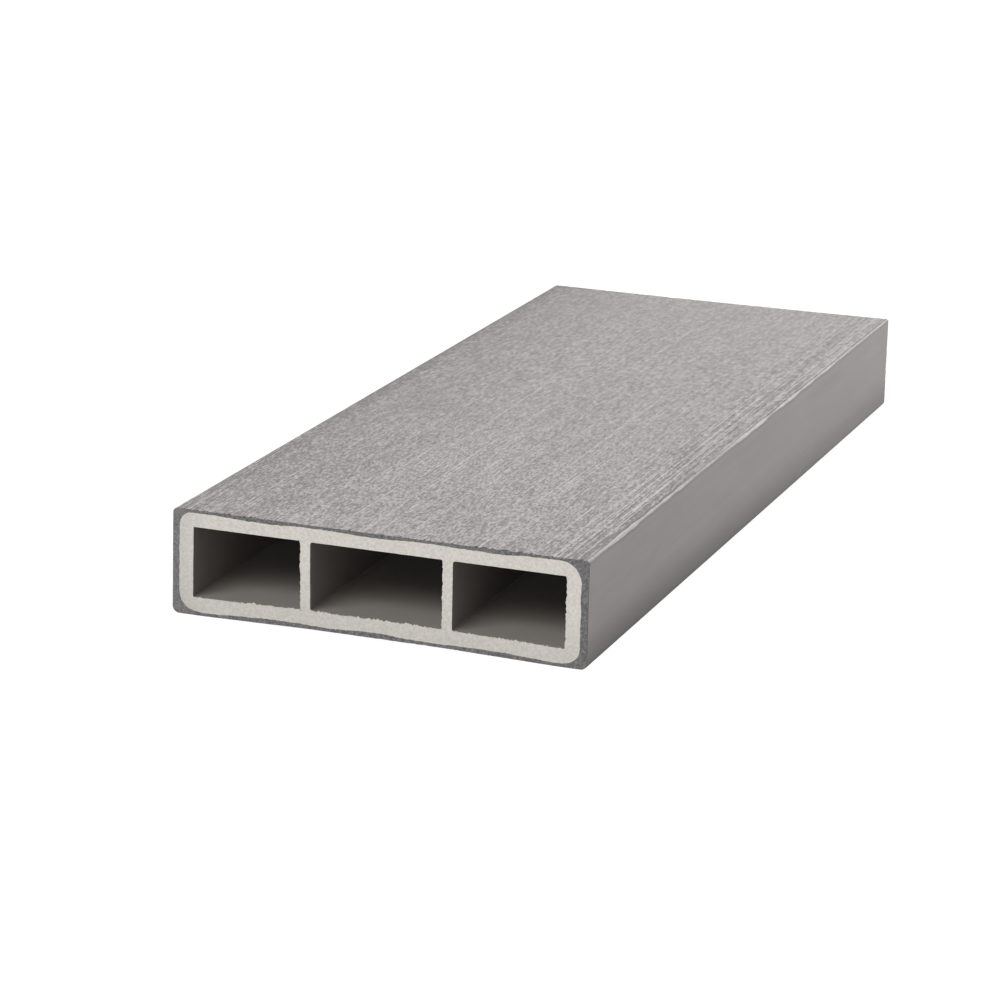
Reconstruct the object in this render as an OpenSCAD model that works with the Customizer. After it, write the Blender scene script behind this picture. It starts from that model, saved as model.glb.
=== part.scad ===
// Hollow composite fence board: a short sawn length of a co-extruded profile.
// A pale core with three chambers carries a thin dark cap on all four sides.
// X runs across the board, Y along it and Z up through its thickness.
// The origin is the middle of the underside.

/* [Board] */
// Width across the broad faces
board_w = 100; // [84:1:160]
// Thickness between the broad faces
board_h = 25; // [20:0.5:40]
// Length between the two sawn ends
board_len = 250; // [100:5:3000]
// Radius of the four long outer edges
edge_r = 1.2; // [0.4:0.1:1.6]
// Width of the level strip along each edge of the underside
foot_w = 7.5; // [7:0.1:12]
// How far the underside draws in below the middle chamber
underside_sink = 0.5; // [0.1:0.1:1]

/* [Cap] */
// Cap thickness on the embossed upper face
cap_top = 0.9; // [0.6:0.1:2]
// Cap thickness on the underside
cap_bottom = 1; // [0.6:0.1:2]
// Cap thickness on the two edges
cap_side = 1.7; // [0.8:0.1:2.5]
// Radius of the core's corners, where the cap is thickest
core_corner_r = 4; // [2:0.1:5]

/* [Core] */
// Core wall above the chambers
wall_top = 3.2; // [2:0.1:5]
// Core wall below the chambers
wall_bottom = 3.3; // [2:0.1:5]
// Core wall beside the outer chambers
wall_side = 3.4; // [2:0.1:5]
// Thickness of the two webs between the chambers
web_t = 2.4; // [1.5:0.1:5]

/* [Chambers] */
// Width of the middle chamber
middle_chamber_w = 31.8; // [24:0.1:40]
// Fillet where a web meets the wall above it
web_top_fillet = 0.8; // [0.3:0.1:2]
// Fillet where a web meets the wall below it
web_foot_fillet = 0.5; // [0.3:0.1:2]
// Fillet in the corners beside the edge walls
outer_fillet = 0.3; // [0.2:0.1:2]

/* [Hidden] */
$fn = 64;

core_colour = [0.80, 0.78, 0.73];
cap_colour = [0.46, 0.45, 0.45];

// Cuts run past the sawn ends by this much
cut_margin = 1;

// Distances from the board's middle plane, all on one side
half_w = board_w / 2;
foot_x = half_w - foot_w;
core_half_w = half_w - cap_side;
chamber_outer_x = core_half_w - wall_side;
middle_x = middle_chamber_w / 2;
chamber_inner_x = middle_x + web_t;

// Heights above the rest plane
core_top_z = board_h - cap_top;
ceiling_z = core_top_z - wall_top;
floor_z = cap_bottom + wall_bottom;

// The underside is level along each edge, rises below the outer chamber and is
// level again below the middle chamber.
function sink_at(x) =
    underside_sink * min(1, max(0, (foot_x - abs(x)) / (foot_x - middle_x)));

// Outline of the board when its sides lie half across, its top at top_z and its
// lowest line at low_z. The list runs anticlockwise from the lower left corner.
function board_outline(half, low_z, top_z) = [
    [-half, low_z],
    for (x = [-foot_x, -middle_x, middle_x, foot_x]) [x, low_z + sink_at(x)],
    [half, low_z],
    [half, top_z],
    [-half, top_z]
];

// Radii for board_outline: only its four corners are round
function board_radii(r) = [r, 0, 0, 0, 0, r, r, r];

// Outline of a chamber whose floor runs through the listed places across the
// board, from left to right. The wall below it keeps one thickness.
function chamber_outline(places) = [
    for (x = places) [x, floor_z + sink_at(x)],
    [places[len(places) - 1], ceiling_z],
    [places[0], ceiling_z]
];

function unit(v) = v / norm(v);
function wrap(list, i) = list[(i + len(list)) % len(list)];

// Unit vectors from corner i towards the corners before and after it
function towards_last(points, i) = unit(wrap(points, i - 1) - points[i]);
function towards_next(points, i) = unit(wrap(points, i + 1) - points[i]);

// Half the angle inside corner i
function half_angle(points, i) =
    acos(towards_last(points, i) * towards_next(points, i)) / 2;

// Centre of the arc of radius r that rounds corner i
function arc_centre(points, i, r) =
    points[i] + unit(towards_last(points, i) + towards_next(points, i)) * r / sin(half_angle(points, i));

// A polygon whose convex corners are rounded by true arcs: each corner is cut
// off between its two tangent points, and a disc fills the cut.
module rounded(points, radii) {
    reach = [for (i = [0 : len(points) - 1]) radii[i] / tan(half_angle(points, i))];
    polygon([
        for (i = [0 : len(points) - 1])
            each radii[i] == 0
                ? [points[i]]
                : [
                    points[i] + towards_last(points, i) * reach[i],
                    points[i] + towards_next(points, i) * reach[i]
                ]
    ]);
    for (i = [0 : len(points) - 1])
        if (radii[i] > 0)
            translate(arc_centre(points, i, radii[i])) circle(radii[i]);
}

module board_section() {
    rounded(board_outline(half_w, 0, board_h), board_radii(edge_r));
}

module core_section() {
    rounded(board_outline(core_half_w, cap_bottom, core_top_z), board_radii(core_corner_r));
}

module middle_chamber_section() {
    rounded(
        chamber_outline([-middle_x, middle_x]),
        [web_foot_fillet, web_foot_fillet, web_top_fillet, web_top_fillet]
    );
}

module right_chamber_section() {
    rounded(
        chamber_outline([chamber_inner_x, foot_x, chamber_outer_x]),
        [web_foot_fillet, 0, outer_fillet, outer_fillet, web_top_fillet]
    );
}

// Runs a section along the board's length, past each end by extra
module along_board(extra = 0) {
    rotate([90, 0, 0]) linear_extrude(board_len + 2 * extra, center = true) children();
}

// The pale core, with a chamber each side of the middle one
module core() {
    color(core_colour) difference() {
        along_board() core_section();
        along_board(cut_margin) middle_chamber_section();
        along_board(cut_margin) right_chamber_section();
        along_board(cut_margin) mirror([1, 0]) right_chamber_section();
    }
}

// The dark cap that wraps the core
module cap() {
    color(cap_colour) difference() {
        along_board() board_section();
        along_board(cut_margin) core_section();
    }
}

core();
cap();
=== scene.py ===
# %% [markdown]
# A short sawn length of hollow fence board.
# The real board is pushed through a die as two melts at once: a pale mixture of wood flour and plastic
# makes the core with its three chambers, and a thin, darker cap is wrapped round it in the same step.
# The broad face is then brushed along its length, and a saw cuts the board to length.
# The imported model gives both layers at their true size. This script dresses them: it keeps every size and
# adds what the die, the brush and the saw leave behind.

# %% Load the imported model
import math

import bpy
import numpy as np
from mathutils import Matrix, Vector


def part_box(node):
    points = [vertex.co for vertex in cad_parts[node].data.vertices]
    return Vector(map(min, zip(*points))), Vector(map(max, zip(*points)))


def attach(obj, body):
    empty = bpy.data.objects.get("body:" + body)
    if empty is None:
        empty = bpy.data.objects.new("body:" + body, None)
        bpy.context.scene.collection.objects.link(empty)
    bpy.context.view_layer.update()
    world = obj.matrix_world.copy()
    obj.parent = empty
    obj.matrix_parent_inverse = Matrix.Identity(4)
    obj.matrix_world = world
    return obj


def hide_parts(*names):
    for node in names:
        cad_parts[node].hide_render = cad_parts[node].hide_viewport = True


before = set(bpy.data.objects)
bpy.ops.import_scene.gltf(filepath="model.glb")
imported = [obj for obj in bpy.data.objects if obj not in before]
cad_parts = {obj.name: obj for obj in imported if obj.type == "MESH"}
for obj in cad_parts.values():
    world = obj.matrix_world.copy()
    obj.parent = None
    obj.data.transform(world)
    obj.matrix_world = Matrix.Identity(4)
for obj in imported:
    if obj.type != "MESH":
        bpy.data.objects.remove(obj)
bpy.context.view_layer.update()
print("nodes:", sorted(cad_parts))

# %% [markdown]
# Every size is taken from the two solids, so that the dressed board can't drift away from the frame.
# X runs across the board, Y along it and Z up through its thickness. Only the chambers' own sizes are
# written here, because a box round the core doesn't tell them.

# %% Sizes of the section
MM = 0.001
cap_low, cap_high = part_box("cap")
core_low, core_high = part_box("core")
half_width = cap_high[0]
half_length = cap_high[1]
board_top = cap_high[2]
core_half_width = core_high[0]
core_bottom = core_low[2]
core_top = core_high[2]

middle_half = 15.9 * MM
web_thickness = 2.4 * MM
wall_side = 3.4 * MM
wall_top = 3.2 * MM
wall_bottom = 3.3 * MM
foot_width = 7.5 * MM
underside_sink = 0.5 * MM
inner_half = middle_half + web_thickness
outer_half = core_half_width - wall_side
floor_height = core_bottom + wall_bottom
ceiling_height = core_top - wall_top
foot_start = half_width - foot_width
print("chambers reach %.1f mm from the middle, from %.1f to %.1f mm high" % (
    outer_half / MM, floor_height / MM, ceiling_height / MM))

# %% [markdown]
# Nothing a saw or a brush leaves is regular, so most shapes here need a smooth random value.
# One could use Blender's own noise, but that is called once for each point. A small table of random
# numbers, read for a whole array at once, is faster and gives the same board on every run.

# %% Smooth random values
TABLE_CELLS = 256


def smoothstep(low, high, value):
    """0 below low, 1 above high, and 3t^2 - 2t^3 in between, where t runs from 0 to 1."""
    t = np.clip((value - low) / (high - low), 0, 1)
    return t * t * (3 - 2 * t)


def value_noise(u, v, seed):
    """Smooth random values from -1 to 1. Random numbers stand at the whole-number places of a plane,
    and between them the four nearest are mixed by smoothstep weights."""
    table = np.random.default_rng(seed).uniform(-1, 1, (TABLE_CELLS, TABLE_CELLS))
    u0 = np.floor(u).astype(int)
    v0 = np.floor(v).astype(int)
    tu = smoothstep(0, 1, u - u0)
    tv = smoothstep(0, 1, v - v0)
    u0, u1 = u0 % TABLE_CELLS, (u0 + 1) % TABLE_CELLS
    v0, v1 = v0 % TABLE_CELLS, (v0 + 1) % TABLE_CELLS
    near = table[u0, v0] * (1 - tu) + table[u1, v0] * tu
    far = table[u0, v1] * (1 - tu) + table[u1, v1] * tu
    return near * (1 - tv) + far * tv


# %% [markdown]
# The section has three closed outlines, one inside the other: the board's outside, the line where the cap
# meets the core, and a line round all three chambers. If each has the same number of points, laid out in
# the same order, then any two of them can be joined by a plain strip of four-sided faces.
# Each outline is a bottom, a right side, a top and a left side, with an arc between each two.
# Extruded corners are never quite alike, so each corner has a radius of its own. The photographed board
# also leans in at its left edge by a third of a millimetre, and its cap is thickest over each chamber.

# %% Points along each side
TOP_STEP = 0.2 * MM
BOTTOM_STEP = 0.2 * MM
SIDE_STEP = 0.3 * MM
WEB_CELLS = 12
ARC_CELLS = 6
web_foot_fillet = 0.5 * MM
web_top_fillet = 0.6 * MM
outer_fillet = 0.3 * MM


def side_fractions(fillet, step):
    """Fractions from 0 to 1 along the chambers' shared floor or ceiling. The places where a web's fillets
    begin are always among them, and between those places the points stand about one step apart."""
    reach = outer_half - outer_fillet
    knots = [-reach, -inner_half - fillet, -middle_half + fillet]
    knots += [-x for x in reversed(knots)]
    chamber_cells = [max(1, round((knots[i + 1] - knots[i]) / step)) for i in (0, 2, 4)]
    cells = [chamber_cells[0], WEB_CELLS, chamber_cells[1], WEB_CELLS, chamber_cells[2]]
    pieces = [np.linspace(knots[i], knots[i + 1], cells[i], endpoint=False) for i in range(5)]
    places = np.append(np.concatenate(pieces), knots[-1])
    return (places + reach) / (2 * reach), np.cumsum([0] + cells)


bottom_fractions, bottom_marks = side_fractions(web_foot_fillet, BOTTOM_STEP)
top_fractions, top_marks = side_fractions(web_top_fillet, TOP_STEP)
side_cells = round((ceiling_height - floor_height) / SIDE_STEP)
side_steps = np.linspace(0, 1, side_cells + 1)
print("points on the bottom %d, on each side %d, on the top %d" % (
    len(bottom_fractions), len(side_steps), len(top_fractions)))

# %% Outlines


def sink_at(x):
    """How far the underside draws in: nothing along each edge, rising evenly to its full depth at the
    middle chamber."""
    return underside_sink * np.clip((foot_start - abs(x)) / (foot_start - middle_half), 0, 1)


def arc(centre_x, centre_z, radius, first_angle):
    """The inner points of a quarter circle, anticlockwise from first_angle in degrees."""
    angle = np.radians(first_angle + np.linspace(0, 90, ARC_CELLS + 1)[1:-1])
    return np.column_stack([centre_x + radius * np.cos(angle), centre_z + radius * np.sin(angle)])


def outline(half, low, high, radii, hollow=0.0):
    """A closed outline with four rounded corners, anticlockwise from the left end of its bottom. The
    bottom follows sink_at, and the top sags by hollow times 1 - (x / half)^2. The radii are those of the
    lower left, lower right, upper right and upper left corners."""
    ll, lr, ur, ul = radii
    bottom_x = -half + ll + bottom_fractions * (2 * half - ll - lr)
    top_x = half - ur - top_fractions * (2 * half - ur - ul)
    right_z = low + lr + side_steps * (high - low - lr - ur)
    left_z = high - ul - side_steps * (high - low - ll - ul)
    return np.concatenate([
        np.column_stack([bottom_x, low + sink_at(bottom_x)]),
        arc(half - lr, low + lr, lr, -90),
        np.column_stack([np.full_like(right_z, half), right_z]),
        arc(half - ur, high - ur, ur, 0),
        np.column_stack([top_x, high - hollow * (1 - (top_x / half) ** 2)]),
        arc(-half + ul, high - ul, ul, 90),
        np.column_stack([np.full_like(left_z, -half), left_z]),
        arc(-half + ll, low + ll, ll, 180),
    ])


def lean(points):
    """The left edge leans in towards its top. The wall of the left chamber goes with it, the webs don't."""
    share = smoothstep(inner_half, outer_half, -points[:, 0])
    points[:, 0] += left_lean * share * points[:, 1] / board_top
    return points


def ripple(points):
    """The cap is thicker below and above the middle of each chamber than at the webs. Its inner line moves
    towards the middle height by cap_ripple * cos(2 pi x / ripple_length)."""
    inwards = 1 - points[:, 1] / (board_top / 2)
    points[:, 1] += cap_ripple * np.cos(2 * math.pi * points[:, 0] / ripple_length) * inwards
    return points


bottom_end = len(bottom_fractions)
right_start = bottom_end + ARC_CELLS - 1
right_end = right_start + len(side_steps)
top_start = right_end + ARC_CELLS - 1
top_end = top_start + len(top_fractions)
left_start = top_end + ARC_CELLS - 1
left_end = left_start + len(side_steps)

face_hollow = 0.15 * MM
left_lean = 0.35 * MM
cap_ripple = 0.2 * MM
ripple_length = 27.5 * MM
board_radii = [r * MM for r in (1.6, 1.3, 0.6, 1.2)]
core_radii = [r * MM for r in (4.8, 3.8, 4.6, 2.8)]
board_line = lean(outline(half_width, 0.0, board_top, board_radii, face_hollow))
core_line = lean(ripple(outline(core_half_width, core_bottom, core_top, core_radii, face_hollow)))
chamber_line = lean(outline(outer_half, floor_height, ceiling_height, [outer_fillet] * 4))
print("points round each outline:", len(board_line), len(core_line), len(chamber_line))

# %% [markdown]
# The saw. On a real offcut the edges where the teeth leave the material are torn, and those where they
# enter it are nearly clean. Here the torn ones are the floor of each chamber and the wall on its right.
# The line between cap and core wanders too, because the two melts met while they were soft.
# The edge's points are pushed about in the plane of the cut, each by its own smooth random amount. Along
# the floors the teeth also pull up thin slivers, in some stretches and not in others.

# %% Torn edges
CLEAN_EDGE = 0.04 * MM
TORN_EDGE = 0.18 * MM
TORN_WALL = 0.36 * MM
TEAR_GRAINS = ((1.10 * MM, 0.55), (0.45 * MM, 0.45))
PATCHY_GRAIN = 2.5 * MM
SLIVER_HEIGHT = 0.34 * MM
SLIVER_WIDTH = 0.36 * MM
SLIVER_STRETCH = 4.0 * MM
MELT_WAVES = ((9.0 * MM, 0.10 * MM), (3.2 * MM, 0.12 * MM), (0.7 * MM, 0.07 * MM))


def scatter(points, grains, seed):
    """A random step across and up for each point: smooth noise of the point's own place, summed over
    (size of the grain, length of the step) pairs."""
    steps = [
        sum(value_noise(points[:, 0] / size, points[:, 1] / size, seed + 10 * axis + k) * length
            for k, (size, length) in enumerate(grains))
        for axis in (0, 1)
    ]
    return np.column_stack(steps)


def tear(points, amount, seed):
    """Moves each point by amount times a random step, more in some stretches and less in others."""
    patchy = 0.8 + 0.5 * value_noise(points[:, 0] / PATCHY_GRAIN, points[:, 1] / PATCHY_GRAIN, seed + 5)
    return points + scatter(points, TEAR_GRAINS, seed) * (amount * patchy)[:, None]


def slivers(points, seed):
    """The height of the slivers at each point: the positive half of a fine noise, kept only where a long
    noise is high."""
    row = np.zeros(len(points))
    fine = np.clip(1.5 * value_noise(points[:, 0] / SLIVER_WIDTH, row, seed + 60), 0, 1)
    stretch = smoothstep(-0.6, 0.1, value_noise(points[:, 0] / SLIVER_STRETCH, row, seed + 61))
    return SLIVER_HEIGHT * fine * stretch


def wander(points, seed):
    """The line where the melts met, in long, middling and short waves."""
    return points + scatter(points, MELT_WAVES, seed)


# %% [markdown]
# Each web's flanks start and end on the chambers' outline, with a small fillet at each end.
# A web is a Coons patch: its four border curves are given, and every inner point is a mix of them.

# %% Web flanks


def web_flank(wall_x, away, start, end):
    """One side of a web from the floor to the ceiling: an arc off the floor, a straight wall and an arc
    under the ceiling. away is 1 where the chamber lies to the right of the wall and -1 where it lies to
    the left. The first and last points are those of the chambers' outline."""
    turn = np.linspace(0, math.pi / 2, ARC_CELLS + 1)[1:]
    low = start[1] + web_foot_fillet
    high = end[1] - web_top_fillet
    foot = np.column_stack([
        wall_x + away * web_foot_fillet * (1 - np.sin(turn)), low - web_foot_fillet * np.cos(turn)])
    wall = np.column_stack([
        np.full(side_cells - 1, wall_x), np.linspace(low, high, side_cells + 1)[1:-1]])
    head = np.column_stack([
        wall_x + away * web_top_fillet * (1 - np.cos(turn)), high + web_top_fillet * np.sin(turn)])
    head = np.vstack([[wall_x, high], head])
    flank = np.vstack([start, foot, wall, head])
    flank[-1] = end
    return flank


def web_borders(line, bottom_from, top_from):
    """The outline's points across a web's foot, left to right, and across its head, left to right."""
    foot = line[bottom_from:bottom_from + WEB_CELLS + 1]
    head = line[top_start + top_from:top_start + top_from + WEB_CELLS + 1][::-1]
    return foot, head


def coons(foot, head, left, right):
    """A patch between four curves: the mix of left and right, plus what foot and head stand off the
    straight line between their own ends."""
    u = np.linspace(0, 1, len(foot))[None, :, None]
    v = np.linspace(0, 1, len(left))[:, None, None]
    across = left[:, None, :] * (1 - u) + right[:, None, :] * u
    foot_bend = foot[None] - (foot[0] * (1 - u) + foot[-1] * u)
    head_bend = head[None] - (head[0] * (1 - u) + head[-1] * u)
    return across + foot_bend * (1 - v) + head_bend * v


# %% [markdown]
# One function now gives everything that the saw leaves in a cut plane: the three outlines, the flanks of
# both webs, and from these the closed rim of each chamber. It is called three times: for the near end, for
# the far end with other random numbers, and with no tearing at all for the clean extrusion in between.

# %% Cut sections


def edge_amounts():
    """How much each point of the chambers' outline is torn: the floor and the right wall a lot, the
    ceiling and the left wall a little, and the places that a web covers not at all."""
    amount = np.full(len(chamber_line), CLEAN_EDGE)
    amount[:bottom_end] = TORN_EDGE
    amount[right_start:right_end] = TORN_WALL
    for marks, start in ((bottom_marks, 0), (top_marks, top_start)):
        for first in (1, 3):
            amount[start + marks[first] + 1:start + marks[first + 1]] = 0
    return amount


def cut_section(seed, strength=1.0):
    """Outlines, web flanks and chamber rims in one cut plane, as points (x, z)."""
    amounts = edge_amounts()
    line = tear(chamber_line, amounts * strength, seed)
    floor_part = amounts[:bottom_end] == TORN_EDGE
    line[:bottom_end, 1] += slivers(chamber_line[:bottom_end], seed) * floor_part * strength
    melt = core_line + (wander(core_line, seed + 20) - core_line) * strength
    webs = []
    for first, centre_sign in ((1, -1), (3, 1)):
        top_first = 4 - first
        foot, head = web_borders(line, bottom_marks[first], top_marks[top_first])
        left_x, right_x = sorted([centre_sign * inner_half, centre_sign * middle_half])
        flanks = []
        for x, away, start, end, amount in (
            (left_x, -1, foot[0], head[0], TORN_WALL),
            (right_x, 1, foot[-1], head[-1], CLEAN_EDGE),
        ):
            flank = web_flank(x, away, start, end)
            flank = tear(flank, np.full(len(flank), amount * strength), seed + 40)
            flank[0], flank[-1] = start, end
            flanks.append(flank)
        webs.append((foot, head, *flanks))
    return {"chambers": line, "core": melt, "webs": webs, "rims": chamber_rims(line, webs)}


def chamber_rims(line, webs):
    """The closed rim of each chamber, anticlockwise from its lower left corner."""
    b, t = bottom_marks, top_marks + top_start
    (_, _, left_a, left_b), (_, _, right_a, right_b) = webs
    left = np.vstack([
        line[b[0]:b[1]], left_a[:-1], line[t[4]:t[5] + 1], line[top_end:left_end], line[left_end:]])
    middle = np.vstack([line[b[2]:b[3]], right_a[:-1], line[t[2]:t[3]], left_b[::-1][:-1]])
    right = np.vstack([line[b[4]:top_start], line[t[0]:t[1]], right_b[::-1][:-1]])
    return [left, middle, right]


near_cut = cut_section(seed=11)
far_cut = cut_section(seed=611)
extruded = cut_section(seed=11, strength=0.0)
print("points round each chamber:", [len(rim) for rim in near_cut["rims"]])

# %% [markdown]
# A surface here is an array of points with rows and columns, and its faces follow from the counts alone.
# Patches that share a border hold the same points twice, so all are put together and equal points are
# merged. A solid that is closed uses each edge exactly twice, once in each direction, and its volume comes
# out positive only if its faces look outwards. Both are printed for each piece.

# %% Patches and solids
WELD = 1e-8


def at_end(points, y):
    """Points (x, z) of a section put at y, which is one number or one for each point."""
    return np.column_stack([points[:, 0], np.broadcast_to(y, len(points)), points[:, 1]])


def patch(points, closed=False, flip=False):
    """Four-sided faces between neighbouring rows and columns. closed joins the last column to the first,
    and flip turns the faces over."""
    rows, columns = points.shape[:2]
    index = np.arange(rows * columns).reshape(rows, columns)
    if closed:
        index = np.hstack([index, index[:, :1]])
    faces = np.stack([index[:-1, :-1], index[:-1, 1:], index[1:, 1:], index[1:, :-1]], axis=-1).reshape(-1, 4)
    return points.reshape(-1, 3), faces[:, ::-1] if flip else faces


def weld(parts):
    """Joins (points, faces, material) parts and merges equal points. The material is one slot number, or
    one for each face. A face that lost a corner goes."""
    offsets = np.cumsum([0] + [len(points) for points, _, _ in parts[:-1]])
    points = np.vstack([p for p, _, _ in parts])
    faces = np.vstack([f + offset for (_, f, _), offset in zip(parts, offsets)])
    slots = np.concatenate([np.broadcast_to(slot, len(f)) for _, f, slot in parts])
    _, first, same = np.unique(np.round(points / WELD).astype(np.int64), axis=0, return_index=True,
                               return_inverse=True)
    faces = same.reshape(-1)[faces]
    whole = (np.sort(faces, axis=1)[:, 1:] != np.sort(faces, axis=1)[:, :-1]).all(axis=1)
    return points[first], faces[whole], slots[whole]


def open_edges(faces):
    """How many edges aren't used exactly once in each direction."""
    start = faces.reshape(-1)
    end = np.roll(faces, -1, axis=1).reshape(-1)
    size = faces.max() + 1
    forward = np.sort(start * size + end)
    backward = np.sort(end * size + start)
    return int((forward != backward).sum() + (np.diff(forward) == 0).sum())


def volume(points, faces):
    """The enclosed volume: a sixth of the triple product of each face's two triangles, summed up."""
    a, b, c, d = (points[faces[:, i]] for i in range(4))
    return float((a * (np.cross(b, c) + np.cross(c, d))).sum() / 6)


def make_piece(name, parts, node, materials):
    """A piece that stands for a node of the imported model, smooth except at the sawn edges."""
    points, faces, slots = weld(parts)
    mesh = bpy.data.meshes.new(name)
    mesh.from_pydata(points.tolist(), [], faces.tolist())
    mesh.polygons.foreach_set("material_index", slots.astype(np.int32))
    mesh.polygons.foreach_set("use_smooth", np.ones(len(faces), dtype=bool))
    for material in materials:
        mesh.materials.append(material)
    mesh.set_sharp_from_angle(angle=math.radians(55))
    piece = bpy.data.objects.new(name, mesh)
    bpy.context.scene.collection.objects.link(piece)
    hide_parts(node)
    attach(piece, "root")
    print("%s: %d triangles, %.1f cm3, open edges %d" % (
        name, 2 * len(faces), volume(points, faces) * 1e6, open_edges(faces)))
    return piece


# %% [markdown]
# Finishes. A few effects come back in several materials, so each is a shader node group, built once and
# placed with other numbers. The first is grain drawn out along the board: the die and the brush both
# leave it. It reads Object coordinates, so it stays where it is when the board or the camera moves.

# %% Node helpers
OFF_THE_LATTICE = 0.37


def new_group(name, inputs, outputs):
    """An empty shader node group with number inputs {name: default} and number outputs."""
    tree = bpy.data.node_groups.new(name, "ShaderNodeTree")
    for label, default in inputs.items():
        socket = tree.interface.new_socket(name=label, in_out="INPUT", socket_type="NodeSocketFloat")
        socket.default_value = default
    for label in outputs:
        tree.interface.new_socket(name=label, in_out="OUTPUT", socket_type="NodeSocketFloat")
    return tree, tree.nodes.new("NodeGroupInput"), tree.nodes.new("NodeGroupOutput")


def connect(tree, source, target):
    """Links a socket into a socket, or sets the target to a plain number."""
    if isinstance(source, bpy.types.NodeSocket):
        tree.links.new(source, target)
    else:
        target.default_value = source


def maths(tree, operation, *values):
    """One Math node, such as ADD, with its values linked or set."""
    node = tree.nodes.new("ShaderNodeMath")
    node.operation = operation
    for value, socket in zip(values, node.inputs):
        connect(tree, value, socket)
    return node.outputs[0]


def remap(tree, value, low, high, to_low=0.0, to_high=1.0):
    """A clamped Map Range node with smooth ends."""
    node = tree.nodes.new("ShaderNodeMapRange")
    node.interpolation_type = "SMOOTHSTEP"
    labels = ("Value", "From Min", "From Max", "To Min", "To Max")
    for source, label in zip((value, low, high, to_low, to_high), labels):
        connect(tree, source, node.inputs[label])
    return node.outputs["Result"]


def noise(tree, vector, detail, roughness=0.5, pattern=0.0):
    """A Noise texture of scale 1 at a vector that is already in units of the grain. pattern is its fourth
    coordinate, which picks another pattern. It always stays off the whole numbers, where noise is flat."""
    node = tree.nodes.new("ShaderNodeTexNoise")
    node.noise_dimensions = "4D"
    connect(tree, maths(tree, "ADD", pattern, OFF_THE_LATTICE), node.inputs["W"])
    node.inputs["Scale"].default_value = 1.0
    node.inputs["Detail"].default_value = detail
    node.inputs["Roughness"].default_value = roughness
    tree.links.new(vector, node.inputs["Vector"])
    return node.outputs["Fac"]


def place(tree):
    """The point's X, Y and Z in the piece's own coordinates, in metres."""
    coordinates = tree.nodes.new("ShaderNodeTexCoord")
    split = tree.nodes.new("ShaderNodeSeparateXYZ")
    tree.links.new(coordinates.outputs["Object"], split.inputs[0])
    return split.outputs


def combine(tree, x, y, z):
    """A vector from three numbers or sockets."""
    node = tree.nodes.new("ShaderNodeCombineXYZ")
    for value, socket in zip((x, y, z), node.inputs):
        connect(tree, value, socket)
    return node.outputs[0]


# %% Grain along the board
def make_grain_group():
    """Noise whose grains are Across millimetres wide and Along millimetres long. Softness says how
    gently they fade into each other, and a Level above 0.5 leaves fewer pale ones. A whole number as
    Pattern gives other grains of the same kind."""
    inputs = {"Across": 0.5, "Along": 5.0, "Softness": 0.2, "Level": 0.5, "Pattern": 0.0}
    tree, given, out = new_group("grain_along_board", inputs, ["Grain"])
    x, y, z = place(tree)
    across = maths(tree, "MULTIPLY", given.outputs["Across"], MM)
    along = maths(tree, "MULTIPLY", given.outputs["Along"], MM)
    steps = [maths(tree, "DIVIDE", value, size) for value, size in ((x, across), (y, along), (z, across))]
    grains = noise(tree, combine(tree, *steps), 2.0, pattern=given.outputs["Pattern"])
    low = maths(tree, "SUBTRACT", given.outputs["Level"], given.outputs["Softness"])
    high = maths(tree, "ADD", given.outputs["Level"], given.outputs["Softness"])
    connect(tree, remap(tree, grains, low, high), out.inputs["Grain"])
    return tree


RAREST_FLECK = 0.74
FLECK_BORDER = 0.07


def make_speckle_group():
    """The flour of a sawn composite: fine mottling of Size millimetres, and a few separate flecks that
    cover about Share of the surface."""
    tree, given, out = new_group("sawn_speckle", {"Size": 0.5, "Share": 0.1}, ["Mottle", "Flecks"])
    x, y, z = place(tree)
    size = maths(tree, "MULTIPLY", given.outputs["Size"], MM)
    steps = [maths(tree, "DIVIDE", value, size) for value in (x, y, z)]
    vector = combine(tree, *steps)
    mottle = noise(tree, vector, 3.0, roughness=0.65)
    connect(tree, remap(tree, mottle, 0.28, 0.72), out.inputs["Mottle"])
    edge = maths(tree, "SUBTRACT", RAREST_FLECK, given.outputs["Share"])
    flecks = remap(tree, noise(tree, vector, 1.0, pattern=1.0), edge, maths(tree, "ADD", edge, FLECK_BORDER))
    connect(tree, flecks, out.inputs["Flecks"])
    return tree


grain_group = make_grain_group()
speckle_group = make_speckle_group()
print("node groups:", grain_group.name, speckle_group.name)

# %% Material helpers


def new_material(name, roughness):
    """A material with one Principled shader. Its plain numbers are set on the shader itself."""
    material = bpy.data.materials.new(name)
    material.use_nodes = True
    tree = material.node_tree
    shader = tree.nodes["Principled BSDF"]
    shader.inputs["Roughness"].default_value = roughness
    shader.inputs["IOR"].default_value = 1.46
    return material, tree, shader


def use_group(tree, group, **values):
    """Places a node group in a material with its own numbers or sockets."""
    node = tree.nodes.new("ShaderNodeGroup")
    node.node_tree = group
    for label, value in values.items():
        connect(tree, value, node.inputs[label])
    return node.outputs


def blend(tree, factor, first, second, mode="MIX"):
    """Mixes two colours, each linked or given as three numbers."""
    node = tree.nodes.new("ShaderNodeMix")
    node.data_type = "RGBA"
    node.blend_type = mode
    connect(tree, factor, node.inputs["Factor"])
    for value, label in ((first, "A"), (second, "B")):
        socket = next(s for s in node.inputs if s.name == label and s.type == "RGBA")
        if isinstance(value, bpy.types.NodeSocket):
            tree.links.new(value, socket)
        else:
            socket.default_value = (*value, 1.0)
    return next(s for s in node.outputs if s.type == "RGBA")


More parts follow.
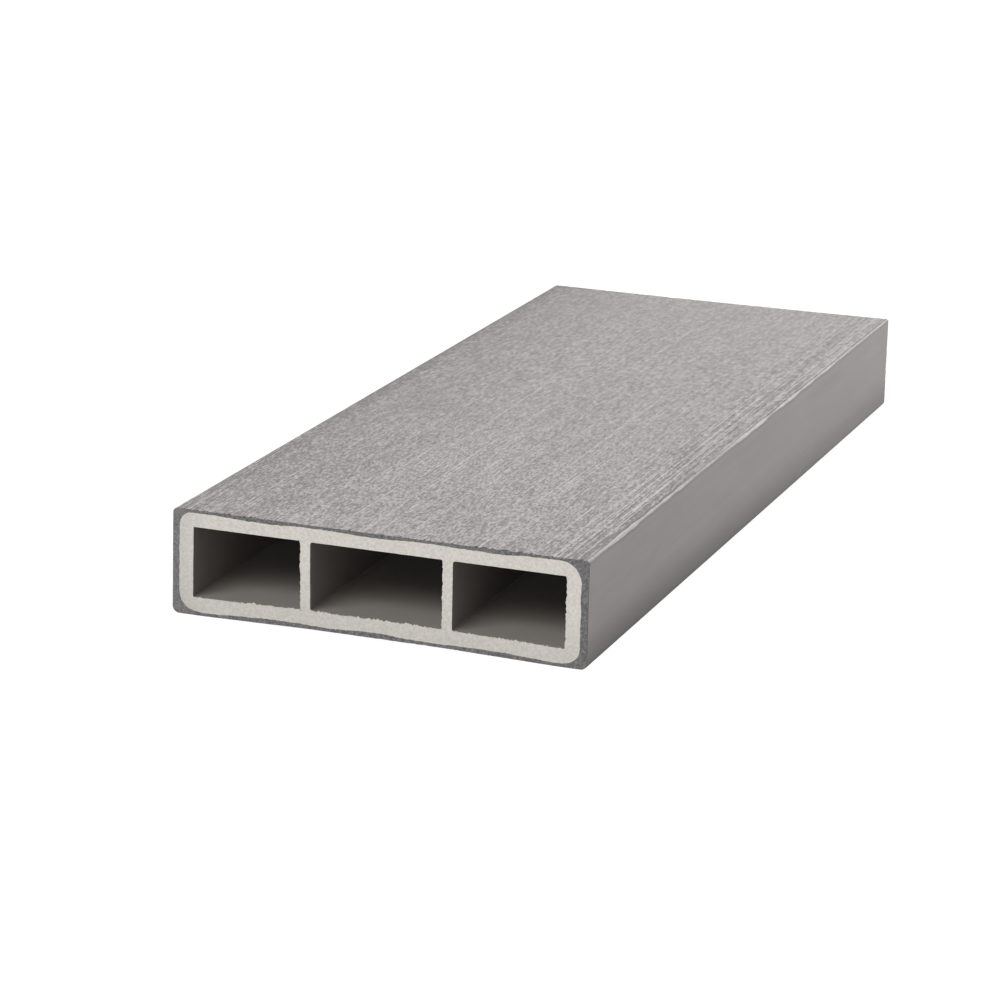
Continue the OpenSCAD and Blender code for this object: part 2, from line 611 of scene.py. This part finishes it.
def blend_numbers(tree, factor, first, second):
    """Mixes two numbers: first where the factor is 0, second where it is 1."""
    node = tree.nodes.new("ShaderNodeMix")
    for value, socket in zip((factor, first, second), (node.inputs[0], node.inputs[2], node.inputs[3])):
        connect(tree, value, socket)
    return node.outputs[0]


def bump(tree, height, distance, shader, strength=1.0):
    """Turns a height from 0 to 1 into a tilt of the normal, for relief that is distance deep."""
    node = tree.nodes.new("ShaderNodeBump")
    node.inputs["Distance"].default_value = distance
    node.inputs["Strength"].default_value = strength
    tree.links.new(height, node.inputs["Height"])
    tree.links.new(node.outputs["Normal"], shader.inputs["Normal"])


# %% [markdown]
# The cap's skin. The broad face was brushed: it is covered in short pale and dark dashes that run along the
# board, and here and there, but mostly along the right edge, the brush also scored whole lines. Its left
# part is darkened by painted shade. The long edges were never brushed. They are smooth, darker and faintly
# drawn, and painted shade darkens them towards the foot. Between the two, the arris carries a thin lip with
# a wavy lower border, raised only in the bump; its pale colour is a painted highlight, and the dark line on
# either side of it is painted shade.
# One material covers all of it, so that no seam can open between the parts. Masks, worked out from the
# distance to the long edge and the height above the rest plane, say what lies where.

# %% Skin of the cap
BRUSHED_LIGHT = (0.642, 0.611, 0.601)
BRUSHED_DARK = (0.266, 0.253, 0.249)
SMOOTH_LIGHT = (0.347, 0.327, 0.322)
SMOOTH_DARK = (0.298, 0.281, 0.277)
# painted shade for the foot of the edge face
SMOOTH_FOOT_PAINTED_SHADE = (0.158, 0.149, 0.147)
# painted highlight: the pale lip along the arris
LIP_PAINTED_HIGHLIGHT = (0.655, 0.628, 0.612)
LIP_SHADE = (0.17, 0.162, 0.16)

DASHES = {"Across": 0.45, "Along": 1.3, "Softness": 0.26, "Level": 0.52}
FAR_DASHES = {"Across": 0.85, "Along": 2.1, "Softness": 0.26, "Level": 0.52, "Pattern": 1}
SCORED_LINES = {"Across": 0.32, "Along": 55.0, "Softness": 0.05, "Pattern": 2}
CLOUDS = {"Across": 5.0, "Along": 9.0, "Softness": 0.30, "Pattern": 3}
WAVES = {"Across": 40.0, "Along": 11.0, "Softness": 0.18, "Pattern": 4}
COMES_AND_GOES = {"Across": 40.0, "Along": 45.0, "Softness": 0.15, "Pattern": 5}
DRAWN = {"Across": 1.6, "Along": 45.0, "Softness": 0.30, "Pattern": 6}
SMEARS = {"Across": 4.0, "Along": 14.0, "Softness": 0.30, "Pattern": 7}
CLOUD_SHARE = 0.12
FAR_DASH_SHARE = 0.8
FAR_DASH_FROM = -100 * MM
FAR_DASH_WHOLLY = 60 * MM
FEW_LINES = 0.61
MANY_LINES = 0.54
FEW_COVER = 0.12
MANY_COVER = 0.32
FEW_TONE = 0.44
FEW_TONE_FAR = 0.30
FEW_TONE_FAR_LEFT = 0.10
MANY_TONE = 0.56
MANY_TONE_FAR = 0.42
SCORED_STRIP = 16 * MM
LEFT_STRIP = 10 * MM
LEFT_STRIP_SHARE = 0.7
LEFT_STRIP_END = -30 * MM
WHOLE_STRIP = 0.3
NEAR_CONTRAST = 0.685
FAR_CONTRAST = 0.34
FADE_FROM = -75 * MM
RIGHT_CONTRAST_NEAR = 1.12
RIGHT_CONTRAST_FAR = 1.36
LEFT_CONTRAST = 1.25


def scored_lines(tree, x, y, right_strip):
    """Thin pale lines as long as the brush's stroke, a few over the whole face, more along the near part
    of the left edge and many along the right. The share that they cover is taken off again, so that they
    don't make the face paler."""
    few_tone_far = remap(tree, x, -half_width, 0.0, FEW_TONE_FAR_LEFT, FEW_TONE_FAR)
    few_tone = remap(tree, y, -half_length, 0.0, FEW_TONE, few_tone_far)
    many_tone = remap(tree, y, -half_length, 0.0, MANY_TONE, MANY_TONE_FAR)
    left_share = remap(tree, y, LEFT_STRIP_END, -half_length, 0.0, LEFT_STRIP_SHARE)
    left_strip = remap(tree, x, LEFT_STRIP - half_width, WHOLE_STRIP * LEFT_STRIP - half_width)
    strip = maths(tree, "MAXIMUM", maths(tree, "MULTIPLY", left_strip, left_share), right_strip)
    level = remap(tree, strip, 0.0, 1.0, FEW_LINES, MANY_LINES)
    lines = use_group(tree, grain_group, Level=level, **SCORED_LINES)["Grain"]
    lines = maths(tree, "SUBTRACT", lines, remap(tree, strip, 0.0, 1.0, FEW_COVER, MANY_COVER))
    return maths(tree, "MULTIPLY", lines, blend_numbers(tree, strip, few_tone, many_tone))


def brushed_weave(tree, x, y):
    """The brushed face's tone from 0, dark, to 1, pale: short dashes, broad clouds and scored lines. Along
    both long edges the tones stand further apart. Towards the far end the brush pressed less, so there
    the dashes are coarser and their tones closer."""
    near_dashes = use_group(tree, grain_group, **DASHES)["Grain"]
    far_dashes = use_group(tree, grain_group, **FAR_DASHES)["Grain"]
    clouds = use_group(tree, grain_group, **CLOUDS)["Grain"]
    right_strip = remap(tree, x, half_width - SCORED_STRIP, half_width - WHOLE_STRIP * SCORED_STRIP)
    far_share = remap(tree, y, FAR_DASH_FROM, FAR_DASH_WHOLLY, 0.0, FAR_DASH_SHARE)
    weave = blend_numbers(tree, far_share, near_dashes, far_dashes)
    weave = blend_numbers(tree, CLOUD_SHARE, weave, clouds)
    weave = maths(tree, "ADD", weave, scored_lines(tree, x, y, right_strip))
    right_contrast = remap(tree, y, -half_length, 0.0, RIGHT_CONTRAST_NEAR, RIGHT_CONTRAST_FAR)
    left_contrast = remap(
        tree, x, LEFT_STRIP - half_width, WHOLE_STRIP * LEFT_STRIP - half_width, 1.0, LEFT_CONTRAST)
    contrast = maths(tree, "MULTIPLY", remap(tree, y, FADE_FROM, half_length, NEAR_CONTRAST, FAR_CONTRAST),
                     blend_numbers(tree, right_strip, left_contrast, right_contrast))
    return maths(tree, "MULTIPLY_ADD", maths(tree, "SUBTRACT", weave, 0.5), contrast, 0.5)


# %% Wear and painted shade of the brushed face
# the left values are painted shade, the corner value is wear
LEFT_PAINTED_SHADE = -0.09
LEFT_SHADE_END = -5 * MM
LEFT_ARRIS_PAINTED_SHADE = -0.14
LEFT_ARRIS_SHADE_END = -42 * MM
CORNER_WEAR = -0.12
CORNER_STRIP = 9 * MM


def wear_and_painted_shade(tree, x, y):
    """What is taken from the brushed tone: painted shade on the left half, more of it in a narrow strip by
    the left arris, and wear where the face was rubbed along the near part of the right edge."""
    # painted shade: the left of the face is darker, as if less light fell there
    left = remap(tree, x, -half_width, LEFT_SHADE_END, LEFT_PAINTED_SHADE, 0.0)
    left_arris_shade = remap(tree, x, -half_width, LEFT_ARRIS_SHADE_END, LEFT_ARRIS_PAINTED_SHADE, 0.0)
    strip = remap(tree, x, half_width - CORNER_STRIP, half_width - WHOLE_STRIP * CORNER_STRIP)
    corner = maths(tree, "MULTIPLY", strip, remap(tree, y, 0, -half_length, 0.0, CORNER_WEAR))
    return maths(tree, "ADD", maths(tree, "ADD", left, left_arris_shade), corner)


# %% Lip along the arris
LIP_FOOT = 0.12 * MM
LIP_FOOT_SWING = 0.80 * MM
LIP_HEAD = 0.25 * MM
LIP_HEAD_SWING = 0.55 * MM
LIP_SWING_FAR = 0.4
LIP_FADE = 0.20 * MM
FOOT_FADE = 0.10 * MM
BRUSHED_FROM = 0.8 * MM
BRUSHED_WHOLLY = 1.3 * MM
HEAD_SHADE_WIDTH = 0.55 * MM
LIP_SHADOW_WIDTH = 0.9 * MM
LINE_FADE = 0.18 * MM
LIP_HIGHLIGHT_STRENGTH = 0.60
LIP_HIGHLIGHT_STRENGTH_FAR = 0.55
LIP_GONE = 0.55
LIP_LEFT = 0.1
HEAD_SHADE_STRENGTH = 0.70
HEAD_SHADE_WEAKEST = 0.35
LIP_SHADOW_STRENGTH = 0.25


def band(tree, value, low, width):
    """1 where the value is between low and low + width, 0 outside, with both ends soft."""
    high = maths(tree, "ADD", low, width)
    return maths(tree, "MULTIPLY", remap(tree, value, low, maths(tree, "ADD", low, LINE_FADE)),
                 remap(tree, value, high, maths(tree, "SUBTRACT", high, LINE_FADE)))


def lip_masks(tree, x, y, inset, drop):
    """Masks of everything above the lip's wavy foot, of the lip itself, whose pale colour is a painted
    highlight, and of the dark lines of painted shade behind it and below it. The lip is broad and pale in
    some stretches and thin and dull in others, its waves grow flat towards the far end, and the left arris
    hardly has one. inset is the distance in from the long edge, drop the depth below the top."""
    comes_and_goes = use_group(tree, grain_group, **COMES_AND_GOES)["Grain"]
    strength = remap(tree, comes_and_goes, 0.0, 1.0, LIP_GONE, 1.0)
    strength = maths(tree, "MULTIPLY", strength, remap(tree, x, -half_width, half_width, LIP_LEFT, 1.0))
    waves = maths(tree, "MULTIPLY", use_group(tree, grain_group, **WAVES)["Grain"], strength)
    waves = maths(tree, "MULTIPLY", waves, remap(tree, y, -half_length, half_length, 1.0, LIP_SWING_FAR))
    foot = maths(tree, "MULTIPLY_ADD", waves, LIP_FOOT_SWING, LIP_FOOT)
    head = maths(tree, "MULTIPLY_ADD", waves, LIP_HEAD_SWING, LIP_HEAD)
    above_foot = remap(tree, drop, maths(tree, "ADD", foot, FOOT_FADE), foot)
    above_foot = maths(tree, "MAXIMUM", above_foot, remap(tree, inset, BRUSHED_FROM, BRUSHED_WHOLLY))
    lip_and_highlight = maths(tree, "MULTIPLY", above_foot, remap(tree, inset, maths(tree, "ADD", head, LIP_FADE), head))
    lip_and_highlight = maths(tree, "MULTIPLY", lip_and_highlight, strength)
    # painted shade: a dark line behind the lip, as in a groove, and a painted shadow below it
    head_shade_line = maths(tree, "MULTIPLY", band(tree, inset, head, HEAD_SHADE_WIDTH), above_foot)
    head_shade_share = remap(tree, comes_and_goes, 0.0, 1.0, HEAD_SHADE_WEAKEST, 1.0)
    head_shade_line = maths(tree, "MULTIPLY", head_shade_line, head_shade_share)
    lip_foot_shadow = band(tree, drop, foot, LIP_SHADOW_WIDTH)
    return above_foot, lip_and_highlight, head_shade_line, lip_foot_shadow


# %% The smooth edge and the whole skin
FOOT_SHADE_TOP = 11.5 * MM
FOOT_SHADE_BOTTOM = -1.5 * MM
FOOT_SHADE_FAR = 0.50
SKIN_RELIEF = 0.10 * MM
RELIEF_STRENGTH = 0.6
BRUSHED_ROUGHNESS = 0.74
SMOOTH_ROUGHNESS = 0.42
DRAWN_SHARE = 0.05
LIP_LEVEL = 0.8
DARKEST_WEAVE = 0.10
PALEST_WEAVE = 0.90


def smooth_colour(tree, drawn, y, z, lip_foot_shadow):
    """The edge's colour: long faint lines and short smears, a painted shadow below the lip, and painted shade
    that darkens it towards the foot, less so at the far end."""
    smears = use_group(tree, grain_group, **SMEARS)["Grain"]
    colour = blend(tree, blend_numbers(tree, 0.5, drawn, smears), SMOOTH_DARK, SMOOTH_LIGHT)
    # painted shadow below the lip
    colour = blend(tree, maths(tree, "MULTIPLY", lip_foot_shadow, LIP_SHADOW_STRENGTH), colour, LIP_SHADE)
    # painted shade: the edge face grows darker towards its foot
    reach = remap(tree, z, FOOT_SHADE_TOP, FOOT_SHADE_BOTTOM)
    share = remap(tree, y, -half_length, half_length, 1.0, FOOT_SHADE_FAR)
    return blend(tree, maths(tree, "MULTIPLY", reach, share), colour, SMOOTH_FOOT_PAINTED_SHADE)


def make_skin():
    """The smooth edge and the brushed face, mixed by the mask of what lies above the lip's foot."""
    material, tree, shader = new_material("cap_skin", 0.62)
    x, y, z = place(tree)
    inset = maths(tree, "SUBTRACT", half_width, maths(tree, "ABSOLUTE", x))
    drop = maths(tree, "SUBTRACT", board_top, z)
    above_foot, lip_and_highlight, head_shade_line, lip_foot_shadow = lip_masks(tree, x, y, inset, drop)

    weave = brushed_weave(tree, x, y)
    tone = remap(tree, maths(tree, "ADD", weave, wear_and_painted_shade(tree, x, y)), DARKEST_WEAVE, PALEST_WEAVE)
    brushed = blend(tree, tone, BRUSHED_DARK, BRUSHED_LIGHT)
    # painted shade of a groove behind the lip
    brushed = blend(tree, maths(tree, "MULTIPLY", head_shade_line, HEAD_SHADE_STRENGTH), brushed, LIP_SHADE)
    drawn = use_group(tree, grain_group, **DRAWN)["Grain"]
    base = blend(tree, above_foot, smooth_colour(tree, drawn, y, z, lip_foot_shadow), brushed)
    lip_highlight_share = remap(tree, y, -half_length, half_length, LIP_HIGHLIGHT_STRENGTH, LIP_HIGHLIGHT_STRENGTH_FAR)
    # painted highlight: the pale lip along the arris
    base = blend(tree, maths(tree, "MULTIPLY", lip_and_highlight, lip_highlight_share), base, LIP_PAINTED_HIGHLIGHT)
    tree.links.new(base, shader.inputs["Base Color"])
    roughness = remap(tree, above_foot, 0.0, 1.0, SMOOTH_ROUGHNESS, BRUSHED_ROUGHNESS)
    tree.links.new(roughness, shader.inputs["Roughness"])

    smooth_height = maths(tree, "MULTIPLY", drawn, DRAWN_SHARE)
    brushed_height = blend_numbers(tree, lip_and_highlight, weave, LIP_LEVEL)
    height = blend_numbers(tree, above_foot, smooth_height, brushed_height)
    bump(tree, height, SKIN_RELIEF, shader, RELIEF_STRENGTH)
    return material


# %% [markdown]
# The sawn faces. Both layers are the same kind of mixture, so both take the speckle group: a dark grey
# mottle for the cap, and a pale, warm one with a few darker flecks of wood for the core. Where the cap's
# sawn edge has crumbled, it is rougher and darker still.

# %% Sawn faces
CAP_CUT_LIGHT = (0.221, 0.214, 0.213)
CAP_CUT_DARK = (0.092, 0.090, 0.091)
CAP_FLECK = (0.36, 0.35, 0.345)
CAP_CRUMB_LIGHT = (0.150, 0.145, 0.144)
CAP_CRUMB_DARK = (0.055, 0.053, 0.053)
CORE_CUT_LIGHT = (0.748, 0.716, 0.658)
CORE_CUT_DARK = (0.598, 0.571, 0.524)
CORE_FLECK = (0.47, 0.41, 0.35)
# the chambers' dark colour is painted shade
CHAMBER_SHADED = (0.266, 0.243, 0.222)
CHAMBER_SHADED_STREAK = (0.255, 0.233, 0.213)
# painted shade towards the foot of a sawn face
CUT_FOOT_PAINTED_SHADE = (0.08, 0.077, 0.074)
CUT_FOOT_SHADE_TOP = 14 * MM
SAW_DUST = (0.36, 0.35, 0.34)
DUST_FROM = -40 * MM
SAWN_RELIEF = 0.05 * MM
CHAMBER_RELIEF = 0.015 * MM
DIE_LINES = {"Across": 2.2, "Along": 90.0, "Softness": 0.4, "Pattern": 8}


def make_sawn(name, light, dark, fleck, size, share, fleck_strength, dust, foot_shade):
    """A sawn face, with a share of grey dust towards the left edge and one of painted shade towards the foot.
    """
    material, tree, shader = new_material(name, 0.85)
    x, y, z = place(tree)
    speckle = use_group(tree, speckle_group, Size=size, Share=share)
    base = blend(tree, speckle["Mottle"], dark, light)
    base = blend(tree, maths(tree, "MULTIPLY", speckle["Flecks"], fleck_strength), base, fleck)
    base = blend(tree, remap(tree, x, DUST_FROM, -half_width, 0.0, dust), base, SAW_DUST)
    # painted shade: darker towards the foot
    base = blend(tree, remap(tree, z, CUT_FOOT_SHADE_TOP, 0.0, 0.0, foot_shade), base, CUT_FOOT_PAINTED_SHADE)
    tree.links.new(base, shader.inputs["Base Color"])
    bump(tree, speckle["Mottle"], SAWN_RELIEF, shader, 0.6)
    return material


def make_chamber_skin():
    """The chambers' walls slid over the die's mandrels: smooth and faintly drawn. Their colour is much darker
    than the cut, which paints the shade inside the chambers.
    """
    material, tree, shader = new_material("shaded_chamber_skin", 0.6)
    drawn = use_group(tree, grain_group, **DIE_LINES)["Grain"]
    # painted shade: the walls' colour is darkened to stand for the shade in the chambers
    base = blend(tree, drawn, CHAMBER_SHADED_STREAK, CHAMBER_SHADED)
    tree.links.new(base, shader.inputs["Base Color"])
    bump(tree, drawn, CHAMBER_RELIEF, shader, 0.5)
    return material


skin = make_skin()
cap_cut = make_sawn("cap_cut", CAP_CUT_LIGHT, CAP_CUT_DARK, CAP_FLECK, 0.55, 0.12, 0.5, dust=0.16, foot_shade=0.0)
cap_crumb = make_sawn(
    "cap_crumb", CAP_CRUMB_LIGHT, CAP_CRUMB_DARK, CAP_FLECK, 0.45, 0.12, 0.3, dust=0.0, foot_shade=0.0)
core_cut = make_sawn(
    "core_cut", CORE_CUT_LIGHT, CORE_CUT_DARK, CORE_FLECK, 0.55, 0.07, 0.4, dust=0.22, foot_shade=0.12)
shaded_chamber_skin = make_chamber_skin()
print("materials:", [m.name for m in (skin, cap_cut, cap_crumb, core_cut, shaded_chamber_skin)])

# %% [markdown]
# The core. Its cut face is a strip between the melt line and the chambers' outline, with the two webs as
# patches of their own. The chambers' walls run from rim to rim. Just behind the saw cut the walls are as
# the die left them, so the torn rim is a row of its own, and the clean rows start half a millimetre in.
# Two of them stand close together there, so that the smoothed shading of the tear can't run on behind them.

# %% Core
CUT_RINGS = 5
BEHIND_CUT = np.array([0.5, 0.7]) * MM
BARE_TEAR = 0.10 * MM
chamber_rows = np.concatenate([-half_length + BEHIND_CUT, [0.0], half_length - BEHIND_CUT[::-1]])


def mix_rings(first, last, count):
    """Rows of points from one outline to another, evenly spaced, both ends included."""
    t = np.linspace(0, 1, count)[:, None, None]
    return first[None] * (1 - t) + last[None] * t


def cut_face(cut, y, flip):
    """The core's sawn face: a strip round the chambers, and a patch for each web."""
    rings = mix_rings(at_end(cut["core"], y), at_end(cut["chambers"], y), CUT_RINGS)
    parts = [(*patch(rings, closed=True, flip=flip), 0)]
    for foot, head, left, right in cut["webs"]:
        grid = coons(foot, head, left, right)
        points = np.stack([grid[..., 0], np.full(grid.shape[:2], y), grid[..., 1]], axis=-1)
        parts.append((*patch(points, flip=flip), 0))
    return parts


def chamber_walls(near_rim, clean_rim, far_rim):
    """The rows of a chamber's wall: the near torn rim, the clean extrusion and the far torn rim. Where the
    saw moved the rim by more than BARE_TEAR, its first row shows the bare inside of the core."""
    clean = [at_end(clean_rim, y) for y in chamber_rows]
    rows = np.stack([at_end(near_rim, -half_length), *clean, at_end(far_rim, half_length)])
    slots = np.ones((len(rows) - 1, len(clean_rim)), dtype=int)
    slots[0] = np.linalg.norm(near_rim - clean_rim, axis=1) < BARE_TEAR
    slots[-1] = np.linalg.norm(far_rim - clean_rim, axis=1) < BARE_TEAR
    return *patch(rows, closed=True), slots.reshape(-1)


core_parts = cut_face(near_cut, -half_length, flip=False) + cut_face(far_cut, half_length, flip=True)
melt_rows = np.stack([at_end(near_cut["core"], -half_length), at_end(far_cut["core"], half_length)])
core_parts.append((*patch(melt_rows, closed=True, flip=True), 0))
for rims in zip(near_cut["rims"], extruded["rims"], far_cut["rims"]):
    core_parts.append(chamber_walls(*rims))
core_piece = make_piece("core_profile", core_parts, "core", [core_cut, shaded_chamber_skin])

# %% [markdown]
# The cap is one closed sleeve. Its rows run out over the near cut, back along the outside, in over the far
# cut and home along the line where it meets the core, so rows and columns both close on themselves.
# The brushed relief on the broad face is real: grooves up to a tenth of a millimetre deep, cut downwards
# from the nominal face, so that the board is never thicker than it should be. They are deepest along the
# right edge, where the brush scored whole lines.

# %% Cap
ROW_STEP = 3.2 * MM
CAP_RINGS = 4
GROOVE_DEPTH = 0.11 * MM
LINE_WIDTH = 0.62 * MM
LINE_LENGTH = 30 * MM
DASH_WIDTH = 0.5 * MM
DASH_LENGTH = 5.5 * MM
CHIP_DEPTH = 0.20 * MM
CHIP_GRAINS = ((1.3 * MM, 0.55), (0.5 * MM, 0.65))
CHIP_REACH = 0.6 * MM
CALM_EDGE = 0.45
BARE_CHIP = 0.025 * MM
CRUMB_SLOT = 2
chip_rows = np.array([0.0, 0.3, 0.8, 1.7]) * MM
inner_rows = np.linspace(
    -half_length + chip_rows[-1], half_length - chip_rows[-1], round(2 * half_length / ROW_STEP))[1:-1]
skin_rows = np.concatenate([-half_length + chip_rows, inner_rows, half_length - chip_rows[::-1]])


def groove(x, y):
    """Depth of the brushed grooves from 0 to 1: half of a mix of long scored lines and short dashes, with
    more of the lines along the right edge, plus a half."""
    lines = value_noise(x / LINE_WIDTH, y / LINE_LENGTH, 301)
    dashes = value_noise(x / DASH_WIDTH, y / DASH_LENGTH, 302)
    lines_share = 0.2 + 0.5 * smoothstep(half_width - 18 * MM, half_width - 4 * MM, x)
    return 0.5 + 0.5 * (lines * lines_share + dashes * (0.7 - lines_share))


def chips(points, y):
    """How deep the sawn edge has crumbled at each point: whole on the broad face, where the teeth came
    out, and less elsewhere. It fades out behind the cut as exp(-distance / CHIP_REACH)."""
    crumbled = np.clip(scatter(points, CHIP_GRAINS, 71 if y < 0 else 91)[:, 0], 0, 1)
    depth = CHIP_DEPTH * np.where(points[:, 1] > board_top - MM, 1, CALM_EDGE)
    return depth * crumbled * np.exp((abs(y) - half_length) / CHIP_REACH)


def skin_row(y):
    """The board's outline at y, with grooves cut into the broad face and chips into the sawn edges."""
    points = board_line.copy()
    broad = smoothstep(board_top - 0.55 * MM, board_top - 0.1 * MM, points[:, 1])
    points[:, 1] -= GROOVE_DEPTH * broad * groove(points[:, 0], np.full(len(points), y))
    inwards = core_line - board_line
    inwards /= np.linalg.norm(inwards, axis=1, keepdims=True)
    points += inwards * chips(board_line, y)[:, None]
    return at_end(points, y)


def skin_slots():
    """The material of each face of the skin: the smooth and brushed skin, but crumbs where a row behind
    a cut has crumbled, and all along the right arris."""
    slots = np.zeros((len(skin_rows) - 1, len(board_line)), dtype=int)
    for row in range(len(chip_rows) - 1):
        slots[row] = np.where(chips(board_line, skin_rows[row + 1]) > BARE_CHIP, CRUMB_SLOT, 0)
        slots[-1 - row] = np.where(chips(board_line, skin_rows[-2 - row]) > BARE_CHIP, CRUMB_SLOT, 0)
    slots[[0, -1], right_start:right_end] = CRUMB_SLOT
    return slots.reshape(-1)


skin_grid = np.stack([skin_row(y) for y in skin_rows])
near_melt = at_end(near_cut["core"], -half_length)
far_melt = at_end(far_cut["core"], half_length)
cap_parts = [
    (*patch(mix_rings(near_melt, skin_grid[0], CAP_RINGS), closed=True, flip=True), 1),
    (*patch(skin_grid, closed=True, flip=True), skin_slots()),
    (*patch(mix_rings(skin_grid[-1], far_melt, CAP_RINGS), closed=True, flip=True), 1),
    (*patch(np.stack([far_melt, near_melt]), closed=True, flip=True), 1),
]
cap_piece = make_piece("cap_sleeve", cap_parts, "cap", [skin, cap_cut, cap_crumb])

# %% [markdown]
# The stage. A white background is a matter of what the camera sees, not of more light: the floor and the
# world are pure white to the camera only, and a plain pale paper and a soft light to everything else. The
# board's own shadow on the paper then darkens the foot of its edge face a little, as it does on a real table,
# and painted shade in the skin's colour darkens it further.
# The floor still mixes in its own shading for the camera, so the board keeps its shadow.

# %% Floor and world
FLOOR_HALF = 4.0
FLOOR_GREY = 0.42
FLOOR_SHADING = 0.12
FLOOR_GLOW = 0.96
WORLD_STRENGTH = 0.30


def seen_directly(tree):
    """1 for rays from the camera, otherwise 0."""
    return tree.nodes.new("ShaderNodeLightPath").outputs["Is Camera Ray"]


def make_floor_material():
    material = bpy.data.materials.new("floor_white")
    material.use_nodes = True
    tree = material.node_tree
    tree.nodes.remove(tree.nodes["Principled BSDF"])
    plain = tree.nodes.new("ShaderNodeBsdfDiffuse")
    plain.inputs["Color"].default_value = (FLOOR_GREY, FLOOR_GREY, FLOOR_GREY, 1)
    shaded = tree.nodes.new("ShaderNodeBsdfDiffuse")
    shaded.inputs["Color"].default_value = (FLOOR_SHADING, FLOOR_SHADING, FLOOR_SHADING, 1)
    glow = tree.nodes.new("ShaderNodeEmission")
    glow.inputs["Strength"].default_value = FLOOR_GLOW
    both = tree.nodes.new("ShaderNodeAddShader")
    tree.links.new(shaded.outputs[0], both.inputs[0])
    tree.links.new(glow.outputs[0], both.inputs[1])
    mix = tree.nodes.new("ShaderNodeMixShader")
    tree.links.new(seen_directly(tree), mix.inputs[0])
    tree.links.new(plain.outputs[0], mix.inputs[1])
    tree.links.new(both.outputs[0], mix.inputs[2])
    tree.links.new(mix.outputs[0], tree.nodes["Material Output"].inputs["Surface"])
    return material


floor_mesh = bpy.data.meshes.new("floor")
floor_corners = [(x * FLOOR_HALF, y * FLOOR_HALF, 0.0) for x, y in ((-1, -1), (1, -1), (1, 1), (-1, 1))]
floor_mesh.from_pydata(floor_corners, [], [(0, 1, 2, 3)])
floor_mesh.materials.append(make_floor_material())
floor = bpy.data.objects.new("floor", floor_mesh)
bpy.context.scene.collection.objects.link(floor)

world = bpy.data.worlds.new("studio")
bpy.context.scene.world = world
world.use_nodes = True
world_shader = world.node_tree.nodes["Background"]
world_shader.inputs["Color"].default_value = (1, 1, 1, 1)
world_level = maths(
    world.node_tree, "MULTIPLY_ADD", seen_directly(world.node_tree), 1 - WORLD_STRENGTH, WORLD_STRENGTH)
world.node_tree.links.new(world_level, world_shader.inputs["Strength"])
bpy.context.scene.view_settings.view_transform = "Standard"
print("world strength for light:", WORLD_STRENGTH)

# %% [markdown]
# Lamps. The broad face and the near cut are lit about alike, and the long edge is a little darker. One
# wide soft lamp, far off above the left of the near end, does most of that. It stands low enough to reach
# fifteen millimetres into the chambers, and their left walls shade their floors from it. A weak lamp
# straight in front looks further in, and one to the right brightens the far end of the long edge.

# %% Lamps


def soft_lamp(name, position, aim, width, height, power):
    """A rectangular area lamp that faces aim, with its lower side level."""
    lamp = bpy.data.lights.new(name, "AREA")
    lamp.shape = "RECTANGLE"
    lamp.size = width
    lamp.size_y = height
    lamp.energy = power
    holder = bpy.data.objects.new(name, lamp)
    bpy.context.scene.collection.objects.link(holder)
    holder.location = position
    direction = np.array(aim) - np.array(position)
    tilt = math.atan2(math.hypot(direction[0], direction[1]), -direction[2])
    turn = math.atan2(direction[1], direction[0]) - math.pi / 2
    holder.rotation_euler = (tilt, 0, turn)
    return holder


soft_lamp("key", (-0.94, -2.25, 2.12), (0, -half_length, 0), 2.4, 1.5, 71.0)
soft_lamp("fill", (0.07, -1.34, 0.30), (0, -half_length, 0), 0.3, 0.3, 2.4)
soft_lamp("edge_lamp", (0.70, 0.60, 0.35), (0, 0, 0), 0.5, 0.5, 6.7)

# %% [markdown]
# The camera. Its place, its direction and its lens were worked out from the board's seven visible corners
# in the photograph: a long lens, low and to the right of the near end.
# Corners are printed as pixels of a picture of 1000 by 1000, to compare them with the photograph.

# %% Camera
PICTURE = 1000
SENSOR = 36.0
camera_place = np.array([0.2876, -0.8120, 0.2505])
azimuth = math.radians(20.623)
elevation = math.radians(16.275)
roll = math.radians(1.138)
focal_length = 126.785

forward = np.array([
    -math.sin(azimuth) * math.cos(elevation), math.cos(azimuth) * math.cos(elevation), -math.sin(elevation)])
level_right = np.cross(forward, [0, 0, 1])
level_right /= np.linalg.norm(level_right)
level_up = np.cross(level_right, forward)
right = math.cos(roll) * level_right + math.sin(roll) * level_up
up = math.cos(roll) * level_up - math.sin(roll) * level_right

camera_data = bpy.data.cameras.new("camera")
camera_data.sensor_width = SENSOR
camera_data.lens = focal_length
camera = bpy.data.objects.new("camera", camera_data)
bpy.context.scene.collection.objects.link(camera)
turned = np.eye(4)
turned[:3, 0], turned[:3, 1], turned[:3, 2], turned[:3, 3] = right, up, -forward, camera_place
camera.matrix_world = Matrix(turned.tolist())
bpy.context.scene.camera = camera


def pixel(point):
    """Where a point lands in the picture: its offsets right and down, times focal length over depth."""
    offset = np.array(point) - camera_place
    scale = focal_length / SENSOR * PICTURE / (offset @ forward)
    return PICTURE / 2 + scale * (offset @ right), PICTURE / 2 - scale * (offset @ up)


for x_sign, y_sign in ((-1, -1), (1, -1), (-1, 1), (1, 1)):
    for z in (0.0, board_top):
        print("corner %2d %2d %4.0f mm: pixel %.1f, %.1f" % (
            x_sign, y_sign, z / MM, *pixel((x_sign * half_width, y_sign * half_length, z))))
